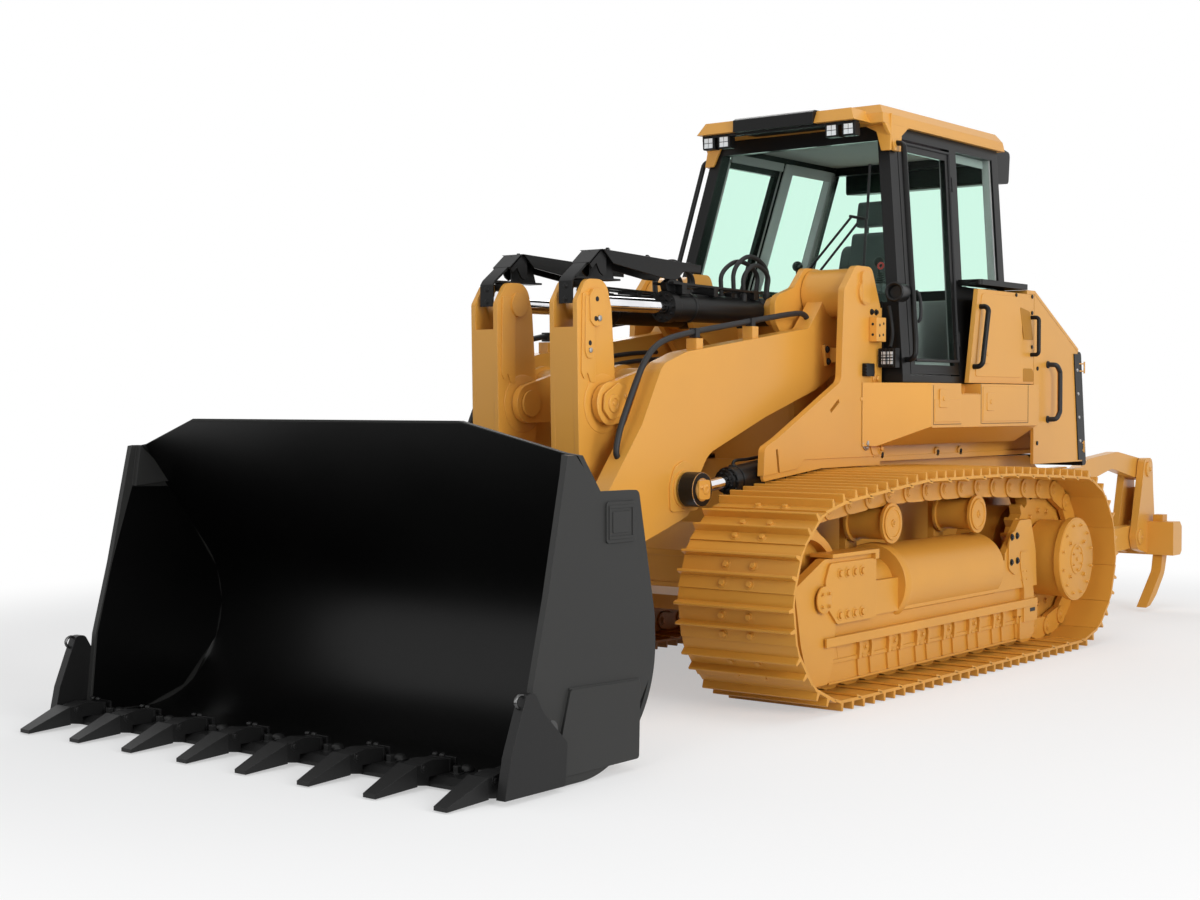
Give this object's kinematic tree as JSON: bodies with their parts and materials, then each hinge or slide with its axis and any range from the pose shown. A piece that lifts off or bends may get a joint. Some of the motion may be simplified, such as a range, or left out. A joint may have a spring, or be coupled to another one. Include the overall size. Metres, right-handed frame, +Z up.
{
  "type": "track loader",
  "caption": "Crawler track loader with a toothed bucket on Z-bar lift arms, a closed cab, hinged service doors and a parallel ripper.",
  "frame": {"origin": "bottom centre of the machine's bounding box with the bucket flat on the ground", "axes": "+X forward towards the bucket, +Y to the machine's left, +Z up"},
  "size_m": [8.46, 2.892, 3.315],
  "materials": {
    "yellow_paint": "satin",
    "black_paint": "satin",
    "bucket_dark": "satin",
    "cast_yellow": "matte",
    "pin_steel": "satin",
    "chrome_rod": "polished",
    "tinted_glass": "gloss",
    "engine_cast": "matte",
    "dark_plastic": "matte",
    "seat_fabric": "matte"
  },
  "bodies": {
    "chassis": {"track_left": "cast_yellow", "track_right": "cast_yellow", "sprockets": "cast_yellow", "final_drives": "cast_yellow", "front_idlers": "cast_yellow", "track_rollers": "cast_yellow", "carrier_rollers": "cast_yellow", "track_frame_left": "yellow_paint", "track_frame_right": "yellow_paint", "roller_guards": "yellow_paint", "main_frame": "yellow_paint", "equalizer_bar": "yellow_paint", "loader_tower_left": "yellow_paint", "loader_tower_right": "yellow_paint", "tower_crossbeam": "yellow_paint", "side_consoles": "yellow_paint", "engine_block": "engine_cast", "hood_top": "yellow_paint", "side_panels": "yellow_paint", "rear_grille": "black_paint", "cab_shell": "black_paint", "cab_roof": "yellow_paint", "cab_glass": "tinted_glass", "operator_seat": "seat_fabric", "operator_controls": "dark_plastic", "roof_rear_box": "black_paint", "grab_rails": "black_paint", "side_ledges": "black_paint", "ripper_frame": "yellow_paint"},
    "engine_door_left": {"engine_door_left": "yellow_paint"},
    "engine_door_right": {"engine_door_right": "yellow_paint"},
    "cab_door_left": {"cab_door_left": "black_paint", "door_glass_left": "tinted_glass"},
    "cab_door_right": {"cab_door_right": "black_paint", "door_glass_right": "tinted_glass"},
    "lift_arms": {"lift_arm_left": "yellow_paint", "lift_arm_right": "yellow_paint", "arm_cross_tube": "yellow_paint", "lever_pins": "yellow_paint"},
    "bucket": {"bucket_shell": "bucket_dark", "cutting_edge": "bucket_dark", "bucket_teeth": "bucket_dark", "corner_guards": "bucket_dark", "bucket_hinge_pins": "yellow_paint", "link_pins": "yellow_paint"},
    "tilt_levers": {"tilt_levers": "yellow_paint"},
    "bucket_links": {"bucket_links": "yellow_paint"},
    "lift_barrels": {"lift_barrels": "black_paint"},
    "lift_rods": {"lift_rods": "chrome_rod"},
    "tilt_barrels": {"tilt_barrels": "black_paint", "barrel_guards": "black_paint"},
    "tilt_pistons": {"tilt_pistons": "pin_steel"},
    "tilt_rods": {"tilt_rods": "chrome_rod", "rod_guards": "black_paint"},
    "ripper_lower_link": {"ripper_lower_link": "yellow_paint"},
    "ripper_upper_links": {"ripper_upper_links": "yellow_paint"},
    "ripper_beam": {"ripper_beam": "yellow_paint", "ripper_shanks": "cast_yellow"},
    "ripper_barrels": {"ripper_barrels": "black_paint"},
    "ripper_rods": {"ripper_rods": "chrome_rod"}
  },
  "joints": [
    {"name": "lift", "type": "hinge", "parent": "chassis", "child": "lift_arms", "pos_m": [0.08, 0, 2.17], "axis": [0, -1, 0], "range_deg": [0, 76]},
    {"name": "bucket_tilt", "type": "hinge", "parent": "lift_arms", "child": "bucket", "pos_m": [2.58, 0, 0.37], "axis": [0, -1, 0], "range_deg": [-121, 40]},
    {"name": "tilt_lever", "type": "hinge", "parent": "lift_arms", "child": "tilt_levers", "pos_m": [2, 0, 1.534], "axis": [0, -1, 0], "range_deg": [-6.84, 18.67]},
    {"name": "bucket_link", "type": "hinge", "parent": "bucket", "child": "bucket_links", "pos_m": [2.695, 0, 0.58], "axis": [0, -1, 0], "range_deg": [-28.4, 83.89]},
    {"name": "lift_barrel", "type": "hinge", "parent": "chassis", "child": "lift_barrels", "pos_m": [0.08, 0, 1.265], "axis": [0, -1, 0], "range_deg": [0, 63.7]},
    {"name": "lift_rod", "type": "slide", "parent": "lift_barrels", "child": "lift_rods", "axis": [0.9937, 0, -0.1119], "range_m": [0, 1.0224]},
    {"name": "tilt_barrel", "type": "hinge", "parent": "chassis", "child": "tilt_barrels", "pos_m": [0.38, 0, 2.06], "axis": [0, -1, 0], "range_deg": [0, 83.08]},
    {"name": "tilt_piston", "type": "slide", "parent": "tilt_barrels", "child": "tilt_pistons", "axis": [1, 0, -0.009], "range_m": [0, 0.3482]},
    {"name": "tilt_rod", "type": "slide", "parent": "tilt_pistons", "child": "tilt_rods", "axis": [1, 0, -0.009], "range_m": [-0.1549, 0.0546]},
    {"name": "ripper_lift", "type": "hinge", "parent": "chassis", "child": "ripper_lower_link", "pos_m": [-2.77, 0, 0.5], "axis": [0, 1, 0], "range_deg": [-16, 20]},
    {"name": "ripper_beam_level", "type": "hinge", "parent": "ripper_lower_link", "child": "ripper_beam", "pos_m": [-3.92, 0, 0.54], "axis": [0, 1, 0], "range_deg": [-21, 17]},
    {"name": "ripper_upper", "type": "hinge", "parent": "chassis", "child": "ripper_upper_links", "pos_m": [-2.92, 0, 1], "axis": [0, 1, 0], "range_deg": [-17, 21]},
    {"name": "ripper_barrel", "type": "hinge", "parent": "ripper_beam", "child": "ripper_barrels", "pos_m": [-3.95, 0, 0.64], "axis": [0, 1, 0], "range_deg": [-17.38, 21.48]},
    {"name": "ripper_rod", "type": "slide", "parent": "ripper_barrels", "child": "ripper_rods", "axis": [0.9799, 0, 0.1996], "range_m": [-0.0968, 0.0784]},
    {"name": "cab_door_left", "type": "hinge", "parent": "chassis", "child": "cab_door_left", "pos_m": [-0.868, 0.888, 1.7], "axis": [-0.218, -0.1667, 0.9616], "range_deg": [0, 80]},
    {"name": "cab_door_right", "type": "hinge", "parent": "chassis", "child": "cab_door_right", "pos_m": [-0.868, -0.888, 1.7], "axis": [0.218, -0.1667, -0.9616], "range_deg": [0, 80]},
    {"name": "engine_door_left", "type": "hinge", "parent": "chassis", "child": "engine_door_left", "pos_m": [-2.615, 0.936, 1.5], "axis": [0, 0, 1], "range_deg": [0, 90]},
    {"name": "engine_door_right", "type": "hinge", "parent": "chassis", "child": "engine_door_right", "pos_m": [-2.615, -0.936, 1.5], "axis": [0, 0, -1], "range_deg": [0, 90]}
  ],
  "couplings": [
    {"joint": "tilt_lever", "follows": "bucket_tilt", "ratio": -0.146},
    {"joint": "bucket_link", "follows": "bucket_tilt", "ratio": -0.685},
    {"joint": "lift_barrel", "follows": "lift", "ratio": 0.825},
    {"joint": "lift_rod", "follows": "lift", "m_per_rad": 0.767},
    {"joint": "tilt_barrel", "follows": "lift", "ratio": 1.08},
    {"joint": "tilt_piston", "follows": "lift", "m_per_rad": 0.2587},
    {"joint": "tilt_rod", "follows": "bucket_tilt", "m_per_rad": 0.071},
    {"joint": "ripper_beam_level", "follows": "ripper_lift", "ratio": -1},
    {"joint": "ripper_upper", "follows": "ripper_lift", "ratio": 1},
    {"joint": "ripper_barrel", "follows": "ripper_lift", "ratio": 1.024},
    {"joint": "ripper_rod", "follows": "ripper_lift", "m_per_rad": -0.263}
  ]
}
